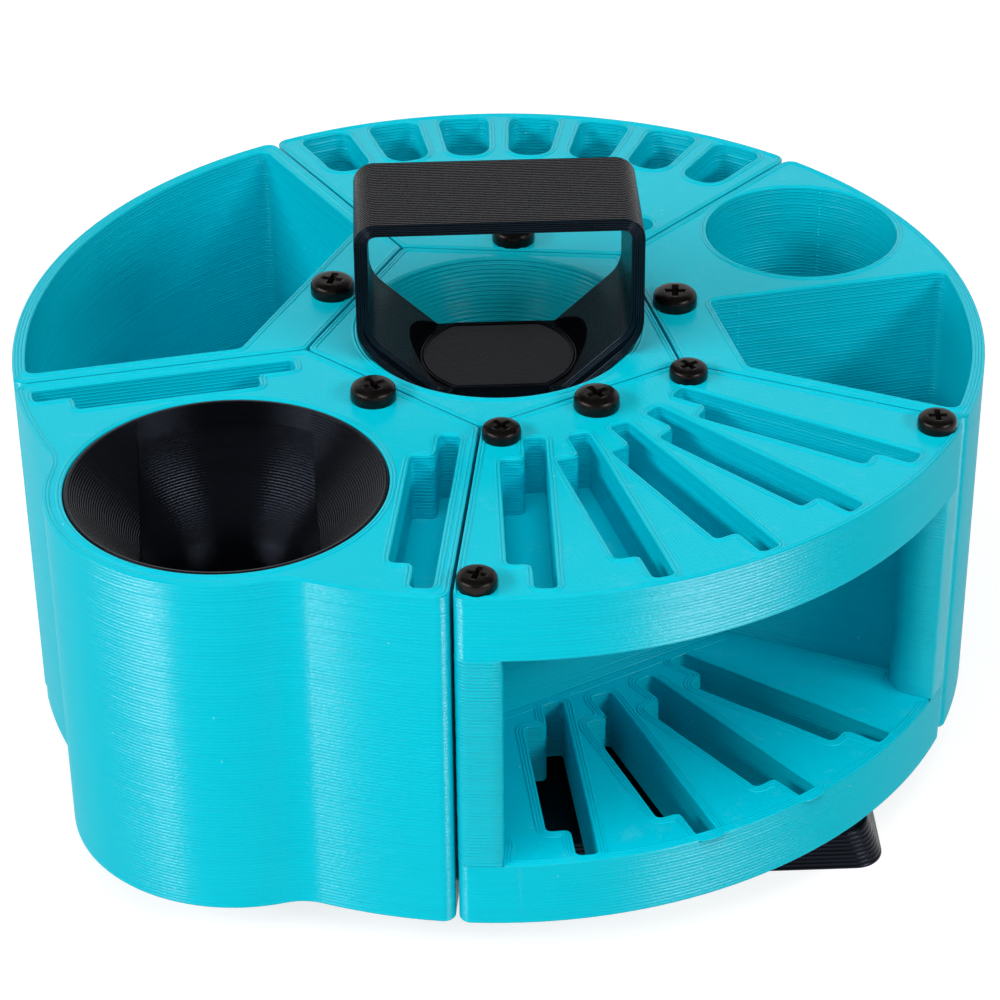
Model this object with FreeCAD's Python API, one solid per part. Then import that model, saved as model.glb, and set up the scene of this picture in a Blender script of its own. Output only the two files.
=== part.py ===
import FreeCAD, Part
import math
import os

# A round tool caddy: five wedge modules screwed to a pentagonal hub, which turns on two ball
# bearings about a fixed axle between a square base and a loop handle. Millimetres, +Z up.
# The origin is the centre of the base's underside, and X runs along the base's front edge.

Vec = FreeCAD.Vector
Z_AXIS = Vec(0, 0, 1)

# Overall sizes
RIM_RADIUS = 103.0
CAROUSEL_HEIGHT = 78.3
CAROUSEL_BOTTOM = 10.3
CAROUSEL_TOP = CAROUSEL_BOTTOM + CAROUSEL_HEIGHT
MODULE_COUNT = 5
MODULE_TURN = 360.0 / MODULE_COUNT
HALF_MODULE = MODULE_TURN / 2
SHEARS_TURN = 82.7
BOTTLE_TURN = SHEARS_TURN - MODULE_TURN
RACK_TURN = SHEARS_TURN - 2 * MODULE_TURN
CUP_TURN = SHEARS_TURN - 3 * MODULE_TURN
BIN_TURN = SHEARS_TURN - 4 * MODULE_TURN
ABOVE = 5.0

# Wedge modules
MODULE_INNER = 33.9
SEAM_GAP = 0.35
RIM_CORNER = 2.5
RIM_WALL = 2.6
SEAM_WALL = 3.6
INNER_BLOCK_END = 46.6
MODULE_FLOOR = 3.0
BIN_CORNER = 2.0

# Bottle well and half bin
WELL_RADIUS = 21.4
WELL_REACH = 79.8
WELL_SWING = 18.7
WELL_FLOOR = 4.0

# Rim pockets and small holes of the shears module
POCKET_COUNT = 7
POCKET_PITCH = 9.8
POCKET_INNER = 81.0
POCKET_OUTER = 101.0
POCKET_INNER_WIDTH = 9.6
POCKET_OUTER_WIDTH = 12.4
POCKET_INNER_CORNER = 4.4
POCKET_OUTER_CORNER = 3.0
POCKET_DEPTH = 66.0
HOLE_REACH = 55.5
HOLE_RADIUS = 3.6
HOLE_DEPTH = 60.0

# Stepped slots
SLOT_WIDTH = 4.6
SLOT_STEP = 4.9
SLOT_MARGIN = 8.2
SLOT_CORNER = 1.1

# Two-tier rack
SLAB_THICKNESS = 14.2
SLAB_BOTTOM = CAROUSEL_TOP - SLAB_THICKNESS
SLAB_SKIN = 1.0
SHELF_THICKNESS = 14.4
SHELF_TOP = CAROUSEL_BOTTOM + SHELF_THICKNESS
FAN_APEX = 12.0
UPPER_SLOT_COUNT = 5
UPPER_SLOT_PITCH = 14.6
UPPER_SLOT_START = 35.2
UPPER_SLOT_LENGTH = 54.0
LOWER_SLOT_COUNT = 4
LOWER_SLOT_PITCH = 16.0
LOWER_SLOT_START = 38.4
LOWER_SLOT_LENGTH = 51.5
RACK_BACK = 45.3
RACK_SIDE_WALL = 1.9
POST_WIDTH = 9.2
POST_DEPTH = 10.5
POST_CORNER = 3.0

# Cup module and its funnel insert
CUP_REACH = 81.8
CUP_BORE = 32.35
CUP_RADIUS = 32.0
BULGE_RADIUS = 36.0
BULGE_FILLET = 12.0
CUP_FLOOR = 5.0
CUP_LIFT_GAP = 0.3
CUP_MOUTH = 31.2
CUP_INSERT_TURN = 3.0
RAMP_DEPTH = 15.5
CHANNEL_HALF_WIDTH = 17.8
BELL_START = 5.0
BELL_END = 23.0
BELL_STEPS = 8
SOCKET_RADIUS = 15.0
SOCKET_DEPTH = 64.0
SIDE_SLOT_START = 45.0
SIDE_SLOT_LENGTH = 55.0
SIDE_SLOT_DEPTH = 15.0
SIDE_SLOT_OFFSET = 3.5

# Hub
HUB_APOTHEM = 33.3
HUB_CORNER = 1.5
SEAT_TOP_RADIUS = 30.0
SEAT_DEPTH = 13.6
SEAT_TAPER = 0.9
HUB_WELL_RADIUS = 13.0
LUG_REACH = 44.9
LUG_HALF_WIDTH = 7.6
LUG_HEIGHT = 12.0
FLANGE = 4.2
LUG_TOP = CAROUSEL_TOP - FLANGE
LUG_PLAY = 0.3

# Screws and threaded inserts
MODULE_SCREW = {"reach": 39.1, "thread": 2.45, "hole": 2.75, "head": 4.75, "head_height": 3.5,
                "length": 16.0, "recess_width": 1.25, "recess_span": 5.2, "recess_depth": 2.0,
                "insert_radius": 3.5, "insert_length": 9.5, "insert_bore": 2.5}
RACK_SCREW = {"thread": 1.95, "hole": 2.25, "head": 4.0, "head_height": 2.9,
              "length": 21.0, "recess_width": 1.05, "recess_span": 4.4, "recess_depth": 1.7,
              "insert_radius": 2.8, "insert_length": 8.0, "insert_bore": 2.0}
RACK_SCREW_INNER = 45.1
RACK_SCREW_OUTER = 98.4
RACK_SCREW_OFFSET = 4.6
HEAD_ROUND = 0.55

# Base and axle
BASE_BOTTOM_HALF = 77.0
BASE_TOP_HALF = 74.0
BASE_CORNER = 6.0
BASE_HEIGHT = 7.0
BOSS_RADIUS = 9.0
RING_SEAT_RADIUS = 5.8
RING_SEAT_HEIGHT = 0.5
AXLE_RADIUS = 3.98
AXLE_HOLE = 4.08
HEX_FLATS = 13.0
HEX_PLAY = 0.2
BOLT_HEAD_BOTTOM = 0.5
BOLT_HEAD_TOP = 5.8
AXLE_TOP = 79.2

# Ball bearings, 8 x 22 x 7
RING_BORE = 4.0
RING_OUTSIDE = 11.0
BEARING_WIDTH = 7.0
INNER_LAND = 6.0
OUTER_LAND = 9.0
BALL_RADIUS = 1.984
BALL_PITCH_RADIUS = 7.5
BALL_COUNT = 7
GROOVE_RADIUS = 2.03
CAGE_HALF_THICKNESS = 0.6
CAGE_HEIGHT = 5.4
CAGE_POCKET = 2.15
SEAL_THICKNESS = 0.5
SEAL_INNER = 6.2
SEAL_SETBACK = 0.05
LOWER_BEARING = 13.3
UPPER_BEARING = 58.9
SHOULDER_BORE = 9.5
BEARING_PROUD = 0.2

# Handle
HANDLE_TOP = CAROUSEL_TOP + 32.4
HANDLE_HALF_WIDTH = 30.0
HANDLE_HALF_DEPTH = 14.0
STRAP = 2.8
HANDLE_CORNER = 4.6
BEND_OUTSIDE = CAROUSEL_TOP + 5.3
BEND_INSIDE = CAROUSEL_TOP + 6.5
BEND_OUTSIDE_ROUND = 9.0
BEND_INSIDE_ROUND = 8.0
SEAT_HALF_WIDTH = 26.0
FOOT_BOTTOM = 75.5
FOOT_HALF_WIDTH = 16.2
FLOOR_HALF_WIDTH = 12.8
FLOOR_RADIUS = 19.0
CAP_BOTTOM = 79.3
CAP_THICKNESS = 2.4
HANDLE_FLOOR = CAP_BOTTOM + CAP_THICKNESS
CAP_RADIUS = 17.0
CAP_PLAY = 0.2
SEAT_PLAY = 0.6
STEM_RADIUS = 12.0
STEM_BOTTOM = 66.4
NUT_RECESS_RADIUS = 8.4
NUT_RECESS_FLOOR = 69.4
WASHER_RADIUS = 8.0
WASHER_THICKNESS = 1.6
NUT_HEIGHT = 8.0


def box(x0, x1, y0, y1, z0, z1):
    """Block between two corners."""
    return Part.makeBox(x1 - x0, y1 - y0, z1 - z0, Vec(x0, y0, z0))


def cylinder(radius, z0, z1, x=0.0, y=0.0):
    """Upright cylinder."""
    return Part.makeCylinder(radius, z1 - z0, Vec(x, y, z0), Z_AXIS)


def tube(outer, inner, z0, z1):
    """Upright tube round the Z axis."""
    return cylinder(outer, z0, z1).cut(cylinder(inner, z0, z1))


def prism(points, z0, z1):
    """Upright prism over a polygon."""
    corners = [Vec(x, y, z0) for x, y in points]
    face = Part.Face(Part.makePolygon(corners + corners[:1]))
    return face.extrude(Vec(0, 0, z1 - z0))


def turned(shape, degrees):
    """Copy turned about the Z axis."""
    copy = shape.copy()
    copy.rotate(Vec(0, 0, 0), Z_AXIS, degrees)
    return copy


def moved(shape, x, y, z):
    """Copy moved by an offset."""
    copy = shape.copy()
    copy.translate(Vec(x, y, z))
    return copy


def polar(reach, degrees):
    """Point at a distance from the axis, at an angle from +X."""
    angle = math.radians(degrees)
    return reach * math.cos(angle), reach * math.sin(angle)


def upright_edges(shape, keep=None):
    """Straight vertical edges, or those whose place passes the test keep(x, y)."""
    found = []
    for edge in shape.Edges:
        if not isinstance(edge.Curve, Part.Line):
            continue
        low, high = edge.Vertexes[0].Point, edge.Vertexes[-1].Point
        if math.hypot(high.x - low.x, high.y - low.y) > 1e-6:
            continue
        if keep is None or keep(low.x, low.y):
            found.append(edge)
    return found


def round_upright(shape, radius, keep=None):
    """Round the vertical edges."""
    return shape.makeFillet(radius, upright_edges(shape, keep))


def joined(shapes):
    """One solid out of overlapping ones."""
    return shapes[0].fuse(shapes[1:]).removeSplitter()


def export(name, shapes):
    """Write one node, which is a solid or a group of separate solids."""
    shape = shapes if isinstance(shapes, Part.Shape) else Part.makeCompound(shapes)
    shape.exportStep("parts/" + name + ".step")
    print(name, len(shape.Solids), "solids", round(shape.Volume), "mm3", shape.isValid())


def sector(inner, gap, rim, z0, z1):
    """Wedge about +X: inside a rim, beyond a flat inner side, and a gap clear of both seams."""
    half = math.radians(HALF_MODULE)

    def seam_point(along):
        return along * math.cos(half) + gap * math.sin(half), along * math.sin(half) - gap * math.cos(half)

    near_x, near_y = seam_point((inner - gap * math.sin(half)) / math.cos(half))
    far_x, far_y = seam_point(math.sqrt(rim ** 2 - gap ** 2))
    near_low, near_high = Vec(near_x, -near_y, z0), Vec(near_x, near_y, z0)
    far_low, far_high = Vec(far_x, -far_y, z0), Vec(far_x, far_y, z0)
    outline = Part.Wire([
        Part.makeLine(near_high, near_low),
        Part.makeLine(near_low, far_low),
        Part.Arc(far_low, Vec(rim, 0, z0), far_high).toShape(),
        Part.makeLine(far_high, near_high),
    ])
    return Part.Face(outline).extrude(Vec(0, 0, z1 - z0))


def near_rim(x, y):
    """Whether a vertical edge stands at the rim."""
    return math.hypot(x, y) > RIM_RADIUS - 1.0


def module_block(z0=CAROUSEL_BOTTOM, z1=CAROUSEL_TOP):
    """Plain module about +X, with rounded rim corners."""
    return round_upright(sector(MODULE_INNER, SEAM_GAP, RIM_RADIUS, z0, z1), RIM_CORNER, near_rim)


def lug_pocket():
    """Room for one hub lug, and the clearance hole of its screw."""
    half = LUG_HALF_WIDTH + LUG_PLAY
    low = LUG_TOP - LUG_HEIGHT - LUG_PLAY
    pocket = box(MODULE_INNER - 1, LUG_REACH + LUG_PLAY, -half, half, low, LUG_TOP)
    hole = cylinder(MODULE_SCREW["hole"], LUG_TOP - 1, CAROUSEL_TOP + 1, MODULE_SCREW["reach"])
    return pocket.fuse(hole)


def stepped_slot(length, side, z0, z1):
    """Slot along +X from the origin, widened by a step on one side (+1 or -1)."""
    half = SLOT_WIDTH / 2
    edge = side * (half + SLOT_STEP)
    outline = [
        (0, -side * half),
        (0, side * half),
        (SLOT_MARGIN, side * half),
        (SLOT_MARGIN, edge),
        (length - SLOT_MARGIN, edge),
        (length - SLOT_MARGIN, side * half),
        (length, side * half),
        (length, -side * half),
    ]
    return round_upright(prism(outline, z0, z1), SLOT_CORNER)


def slot_fan(count, pitch, start, length, z0, z1):
    """Stepped slots fanned about a point on +X, each widened on its clockwise side."""
    slots = []
    for index in range(count):
        swing = (index - (count - 1) / 2) * pitch
        slot = moved(stepped_slot(length, -1, z0, z1), start, 0, 0)
        slots.append(moved(turned(slot, swing), FAN_APEX, 0, 0))
    return slots


def rack_screw_places():
    """Centres of the four rack screws, about +X."""
    places = []
    for along in (RACK_SCREW_INNER, RACK_SCREW_OUTER):
        swing = HALF_MODULE - math.degrees(math.asin(RACK_SCREW_OFFSET / along))
        places += [polar(along, swing), polar(along, -swing)]
    return places


def pan_screw(size, x, y):
    """Pan-head screw with a cross recess, its head standing on the carousel's top."""
    head_top = CAROUSEL_TOP + size["head_height"]
    head = cylinder(size["head"], CAROUSEL_TOP, head_top)
    head = head.makeFillet(size["head_height"] * HEAD_ROUND, [head.Edges[0]])
    shank = cylinder(size["thread"], CAROUSEL_TOP - size["length"], CAROUSEL_TOP)
    half_span, half_width = size["recess_span"] / 2, size["recess_width"] / 2
    low = head_top - size["recess_depth"]
    arm = prism([(-half_span, -half_width), (half_span, -half_width), (half_span, half_width),
                 (-half_span, half_width)], low, head_top + 1)
    return moved(joined([head, shank]).cut([arm, turned(arm, 90)]), x, y, 0)


def threaded_insert(size, top, x, y):
    """Brass sleeve for a screw."""
    sleeve = tube(size["insert_radius"], size["insert_bore"], top - size["insert_length"], top)
    return moved(sleeve, x, y, 0)


def insert_hole(size, top, depth, x, y):
    """Hole for a threaded insert, carried on below it for the screw's end."""
    seat = cylinder(size["insert_radius"], top - size["insert_length"], top + 1, x, y)
    return seat.fuse(cylinder(size["hole"], top - depth, top, x, y))


def make_hub():
    """Pentagon with a conical seat, an axle well, two bearing seats and five screw lugs."""
    corner = HUB_APOTHEM / math.cos(math.radians(HALF_MODULE))
    outline = [polar(corner, SHEARS_TURN + HALF_MODULE + i * MODULE_TURN) for i in range(MODULE_COUNT)]
    hub = round_upright(prism(outline, CAROUSEL_BOTTOM, CAROUSEL_TOP), HUB_CORNER)
    lug = box(HUB_APOTHEM - 1, LUG_REACH, -LUG_HALF_WIDTH, LUG_HALF_WIDTH, LUG_TOP - LUG_HEIGHT, LUG_TOP)
    lug = lug.cut(insert_hole(MODULE_SCREW, LUG_TOP, LUG_HEIGHT + 1, MODULE_SCREW["reach"], 0))
    hub = joined([hub] + [turned(lug, SHEARS_TURN + i * MODULE_TURN) for i in range(MODULE_COUNT)])
    seat_floor = CAROUSEL_TOP - SEAT_DEPTH
    seat = Part.makeCone(SEAT_TOP_RADIUS - SEAT_DEPTH * SEAT_TAPER, SEAT_TOP_RADIUS + ABOVE * SEAT_TAPER,
                         SEAT_DEPTH + ABOVE, Vec(0, 0, seat_floor))
    upper_end = UPPER_BEARING + BEARING_WIDTH
    lower_end = LOWER_BEARING + BEARING_WIDTH
    return hub.cut([
        seat,
        cylinder(HUB_WELL_RADIUS, upper_end + BEARING_PROUD, seat_floor + 1),
        cylinder(RING_OUTSIDE, UPPER_BEARING, upper_end + 1),
        cylinder(SHOULDER_BORE, lower_end - 1, UPPER_BEARING + 1),
        cylinder(RING_OUTSIDE, CAROUSEL_BOTTOM - 1, lower_end),
    ])


def make_bin_module():
    """One large open bin."""
    hollow = sector(INNER_BLOCK_END, SEAM_WALL, RIM_RADIUS - RIM_WALL,
                    CAROUSEL_BOTTOM + MODULE_FLOOR, CAROUSEL_TOP + ABOVE)
    return module_block().cut([round_upright(hollow, BIN_CORNER), lug_pocket()])


def make_bottle_module():
    """A round well on one half and a bin on the other."""
    hollow = sector(INNER_BLOCK_END, SEAM_WALL, RIM_RADIUS - RIM_WALL,
                    CAROUSEL_BOTTOM + MODULE_FLOOR, CAROUSEL_TOP + ABOVE)
    lower_half = box(0, RIM_RADIUS, -RIM_RADIUS, 0, 0, CAROUSEL_TOP + 2 * ABOVE)
    half_bin = round_upright(hollow.common(lower_half), BIN_CORNER)
    x, y = polar(WELL_REACH, WELL_SWING)
    well = cylinder(WELL_RADIUS, CAROUSEL_BOTTOM + WELL_FLOOR, CAROUSEL_TOP + ABOVE, x, y)
    return module_block().cut([half_bin, well, lug_pocket()])


def rim_pocket():
    """Tapered pocket along +X, narrower and rounder at its inner end."""
    low, high = CAROUSEL_TOP - POCKET_DEPTH, CAROUSEL_TOP + ABOVE
    inner_half, outer_half = POCKET_INNER_WIDTH / 2, POCKET_OUTER_WIDTH / 2
    pocket = prism([(POCKET_INNER, -inner_half), (POCKET_OUTER, -outer_half), (POCKET_OUTER, outer_half),
                    (POCKET_INNER, inner_half)], low, high)
    middle = (POCKET_INNER + POCKET_OUTER) / 2
    pocket = round_upright(pocket, POCKET_INNER_CORNER, lambda x, y: x < middle)
    return round_upright(pocket, POCKET_OUTER_CORNER, lambda x, y: x > POCKET_OUTER - 0.1)


def make_shears_module():
    """Seven pockets along the rim and a row of small holes nearer the hub."""
    hole = cylinder(HOLE_RADIUS, CAROUSEL_TOP - HOLE_DEPTH, CAROUSEL_TOP + ABOVE, HOLE_REACH)
    cuts = [lug_pocket()]
    for index in range(POCKET_COUNT):
        swing = (index - (POCKET_COUNT - 1) / 2) * POCKET_PITCH
        cuts += [turned(rim_pocket(), swing), turned(hole, swing)]
    return module_block().cut(cuts)


def make_rack_upper():
    """Thick slab with five stepped slots, closed below by a thin skin."""
    slots = slot_fan(UPPER_SLOT_COUNT, UPPER_SLOT_PITCH, UPPER_SLOT_START, UPPER_SLOT_LENGTH,
                     SLAB_BOTTOM + SLAB_SKIN, CAROUSEL_TOP + ABOVE)
    holes = [cylinder(RACK_SCREW["hole"], SLAB_BOTTOM - 1, CAROUSEL_TOP + 1, x, y)
             for x, y in rack_screw_places()]
    return module_block(SLAB_BOTTOM, CAROUSEL_TOP).cut(slots + holes + [lug_pocket()])


def make_rack_lower():
    """Shelf with four through slots, a back block, thin side walls and two posts at the rim."""
    window = sector(RACK_BACK, RACK_SIDE_WALL, RIM_RADIUS + ABOVE, SHELF_TOP, SLAB_BOTTOM + 1)
    posts = []
    for side in (1, -1):
        along = RIM_RADIUS - POST_DEPTH
        post = prism([(along, 0), (RIM_RADIUS + ABOVE, 0), (RIM_RADIUS + ABOVE, -side * POST_WIDTH),
                      (along + POST_CORNER, -side * POST_WIDTH), (along, -side * (POST_WIDTH - POST_CORNER))],
                     SHELF_TOP - 1, SLAB_BOTTOM + 1)
        posts.append(turned(post, side * HALF_MODULE))
    slots = slot_fan(LOWER_SLOT_COUNT, LOWER_SLOT_PITCH, LOWER_SLOT_START, LOWER_SLOT_LENGTH,
                     CAROUSEL_BOTTOM - 1, SHELF_TOP + 1)
    holes = [insert_hole(RACK_SCREW, SLAB_BOTTOM, RACK_SCREW["insert_length"] + 2, x, y)
             for x, y in rack_screw_places()]
    block = module_block(CAROUSEL_BOTTOM, SLAB_BOTTOM)
    return block.cut([window.cut(posts)] + slots + holes + [lug_pocket()])


def make_cup_module():
    """Module whose rim swells round a deep bore, with a stepped slot along each seam."""
    bulge = cylinder(BULGE_RADIUS, CAROUSEL_BOTTOM, CAROUSEL_TOP, CUP_REACH)
    block = joined([module_block(), bulge])

    def where_bulge_meets_rim(x, y):
        on_rim = abs(math.hypot(x, y) - RIM_RADIUS) < 0.01
        return on_rim and abs(math.hypot(x - CUP_REACH, y) - BULGE_RADIUS) < 0.01

    block = round_upright(block, BULGE_FILLET, where_bulge_meets_rim)
    bore = cylinder(CUP_BORE, CAROUSEL_BOTTOM + CUP_FLOOR, CAROUSEL_TOP + ABOVE, CUP_REACH)
    cuts = [bore, lug_pocket()]
    for side in (1, -1):
        slot = stepped_slot(SIDE_SLOT_LENGTH, -side, CAROUSEL_TOP - SIDE_SLOT_DEPTH, CAROUSEL_TOP + ABOVE)
        slot = moved(slot, SIDE_SLOT_START, -side * (SIDE_SLOT_OFFSET + SLOT_WIDTH / 2), 0)
        cuts.append(turned(slot, side * HALF_MODULE))
    return block.cut(cuts)


def rounded_rectangle(size, corner, z):
    """Closed outline of a rectangle with rounded corners, at a height."""
    half_x, half_y = size[0] / 2, size[1] / 2
    slab = round_upright(box(-half_x, half_x, -half_y, half_y, z, z + 1), corner)
    bottom = min(slab.Faces, key=lambda face: face.CenterOfMass.z)
    return bottom.OuterWire


def cup_bell():
    """Round body that narrows in an S-curve from the cup's mouth to its socket."""
    curve_points = []
    for step in range(BELL_STEPS + 1):
        share = step / BELL_STEPS
        radius = SOCKET_RADIUS + (CUP_MOUTH - SOCKET_RADIUS) * (1 + math.cos(math.pi * share)) / 2
        depth = BELL_START + (BELL_END - BELL_START) * share
        curve_points.append(Vec(radius, 0, CAROUSEL_TOP - depth))
    curve = Part.BSplineCurve()
    curve.interpolate(curve_points)
    top, bottom = Vec(0, 0, CAROUSEL_TOP), Vec(0, 0, CAROUSEL_TOP - BELL_END)
    mouth = Vec(CUP_MOUTH, 0, CAROUSEL_TOP)
    outline = Part.Wire([
        Part.makeLine(top, mouth),
        Part.makeLine(mouth, curve_points[0]),
        curve.toShape(),
        Part.makeLine(curve_points[-1], bottom),
        Part.makeLine(bottom, top),
    ])
    return Part.Face(outline).revolve(Vec(0, 0, 0), Z_AXIS, 360)


def make_cup_insert():
    """Plain drum outside; inside, a ramp on each side and a bell-shaped channel between them, down to a socket."""
    low = CAROUSEL_BOTTOM + CUP_FLOOR + CUP_LIFT_GAP
    drum = cylinder(CUP_RADIUS, low, CAROUSEL_TOP)
    ramps = Part.makeCone(SOCKET_RADIUS, CUP_MOUTH, RAMP_DEPTH, Vec(0, 0, CAROUSEL_TOP - RAMP_DEPTH))
    between = box(-CHANNEL_HALF_WIDTH, CHANNEL_HALF_WIDTH, -CUP_RADIUS, CUP_RADIUS,
                  CAROUSEL_TOP - BELL_END, CAROUSEL_TOP)
    channel = cup_bell().common(between)
    socket = cylinder(SOCKET_RADIUS, CAROUSEL_TOP - SOCKET_DEPTH, CAROUSEL_TOP)
    x, y = polar(CUP_REACH, CUP_TURN)
    return moved(turned(drum.cut([ramps, channel, socket]), CUP_INSERT_TURN), x, y, 0)


def hex_prism(flats, z0, z1):
    """Upright hexagonal prism, by its width across flats."""
    corner = flats / 2 / math.cos(math.radians(30))
    return prism([polar(corner, 60 * i) for i in range(6)], z0, z1)


def make_base():
    """Low square frustum with a boss for the lower bearing and a hexagonal recess below."""
    bottom = rounded_rectangle((2 * BASE_BOTTOM_HALF, 2 * BASE_BOTTOM_HALF), BASE_CORNER, 0)
    top = rounded_rectangle((2 * BASE_TOP_HALF, 2 * BASE_TOP_HALF), BASE_CORNER, BASE_HEIGHT)
    plate = Part.makeLoft([bottom, top], True, True)
    boss = cylinder(BOSS_RADIUS, BASE_HEIGHT - 1, LOWER_BEARING - RING_SEAT_HEIGHT)
    ring_seat = cylinder(RING_SEAT_RADIUS, BASE_HEIGHT, LOWER_BEARING)
    recess = hex_prism(HEX_FLATS + HEX_PLAY, -1, BOLT_HEAD_TOP)
    return joined([plate, boss, ring_seat]).cut([recess, cylinder(AXLE_HOLE, 0, LOWER_BEARING + 1)])


def make_axle_bolt():
    """Hexagon-head bolt that stands up from the base through the whole stack."""
    head = hex_prism(HEX_FLATS, BOLT_HEAD_BOTTOM, BOLT_HEAD_TOP)
    return joined([head, cylinder(AXLE_RADIUS, BOLT_HEAD_TOP - 1, AXLE_TOP)])


def bearing_pieces(bottom):
    """Inner ring, outer ring, balls, cage and two seals of one deep-groove ball bearing."""
    top = bottom + BEARING_WIDTH
    middle = (bottom + top) / 2
    groove = Part.makeTorus(BALL_PITCH_RADIUS, GROOVE_RADIUS, Vec(0, 0, middle), Z_AXIS)
    inner = tube(INNER_LAND, RING_BORE, bottom, top).cut(groove)
    outer = tube(RING_OUTSIDE, OUTER_LAND, bottom, top).cut(groove)
    cage = tube(BALL_PITCH_RADIUS + CAGE_HALF_THICKNESS, BALL_PITCH_RADIUS - CAGE_HALF_THICKNESS,
                middle - CAGE_HEIGHT / 2, middle + CAGE_HEIGHT / 2)
    balls = []
    for index in range(BALL_COUNT):
        x, y = polar(BALL_PITCH_RADIUS, index * 360.0 / BALL_COUNT)
        balls.append(Part.makeSphere(BALL_RADIUS, Vec(x, y, middle)))
        pocket = Part.makeCylinder(CAGE_POCKET, RING_OUTSIDE, Vec(0, 0, middle), Vec(x, y, 0))
        cage = cage.cut(pocket)
    seals = [tube(OUTER_LAND, SEAL_INNER, low, low + SEAL_THICKNESS)
             for low in (bottom + SEAL_SETBACK, top - SEAL_SETBACK - SEAL_THICKNESS)]
    return inner, outer, balls, cage, seals


def upright_panel(points):
    """Outline in the XZ plane, given as half-profile points from the top, carried across the depth."""
    mirror = [(-x, z) for x, z in reversed(points)]
    corners = [Vec(x, -HANDLE_HALF_DEPTH, z) for x, z in points + mirror]
    face = Part.Face(Part.makePolygon(corners + corners[:1]))
    return face.extrude(Vec(0, 2 * HANDLE_HALF_DEPTH, 0))


def round_bends(panel, radius, height):
    """Round the two front-to-back edges at a height."""
    edges = [edge for edge in panel.Edges
             if abs(edge.BoundBox.ZMax - height) < 1e-6 and abs(edge.BoundBox.ZMin - height) < 1e-6
             and edge.BoundBox.YLength > HANDLE_HALF_DEPTH]
    return panel.makeFillet(radius, edges)


def make_handle():
    """Strap loop whose sides draw in to a conical foot, with a stem down to the upper bearing."""
    outside = upright_panel([(HANDLE_HALF_WIDTH, HANDLE_TOP), (HANDLE_HALF_WIDTH, BEND_OUTSIDE),
                             (SEAT_HALF_WIDTH, CAROUSEL_TOP), (FOOT_HALF_WIDTH, FOOT_BOTTOM)])
    outside = round_bends(outside, HANDLE_CORNER, HANDLE_TOP)
    outside = round_bends(outside, BEND_OUTSIDE_ROUND, BEND_OUTSIDE)
    inner_half = HANDLE_HALF_WIDTH - STRAP
    inside = upright_panel([(inner_half, HANDLE_TOP - STRAP), (inner_half, BEND_INSIDE),
                            (FLOOR_HALF_WIDTH, HANDLE_FLOOR)])
    inside = round_bends(inside, HANDLE_CORNER - STRAP, HANDLE_TOP - STRAP)
    inside = round_bends(inside, BEND_INSIDE_ROUND, BEND_INSIDE)
    loop = outside.cut(inside)
    # Inside the hub the foot keeps clear of the conical seat all round.
    seat_room = Part.makeCone(SEAT_TOP_RADIUS - SEAT_DEPTH * SEAT_TAPER - SEAT_PLAY,
                              SEAT_TOP_RADIUS - SEAT_PLAY, SEAT_DEPTH,
                              Vec(0, 0, CAROUSEL_TOP - SEAT_DEPTH))
    above_seat = box(-RIM_RADIUS, RIM_RADIUS, -RIM_RADIUS, RIM_RADIUS, CAROUSEL_TOP, HANDLE_TOP + 1)
    loop = loop.common(seat_room.fuse(above_seat))
    stem = cylinder(STEM_RADIUS, STEM_BOTTOM, FOOT_BOTTOM + 1)
    ring_seat = cylinder(RING_SEAT_RADIUS, UPPER_BEARING + BEARING_WIDTH, STEM_BOTTOM + 1)
    return joined([loop, stem, ring_seat]).cut([
        cylinder(CAP_RADIUS + CAP_PLAY, CAP_BOTTOM, HANDLE_FLOOR),
        cylinder(FLOOR_RADIUS, HANDLE_FLOOR, CAROUSEL_TOP),
        cylinder(NUT_RECESS_RADIUS, NUT_RECESS_FLOOR, CAP_BOTTOM + 1),
        cylinder(AXLE_HOLE, UPPER_BEARING, NUT_RECESS_FLOOR + 1),
    ])


def make_handle_cap():
    """Disc over the lock nut, cut flush with the handle's front and back."""
    flush = box(-RIM_RADIUS, RIM_RADIUS, -HANDLE_HALF_DEPTH, HANDLE_HALF_DEPTH, CAP_BOTTOM, HANDLE_FLOOR)
    return cylinder(CAP_RADIUS, CAP_BOTTOM, HANDLE_FLOOR).common(flush)


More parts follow.
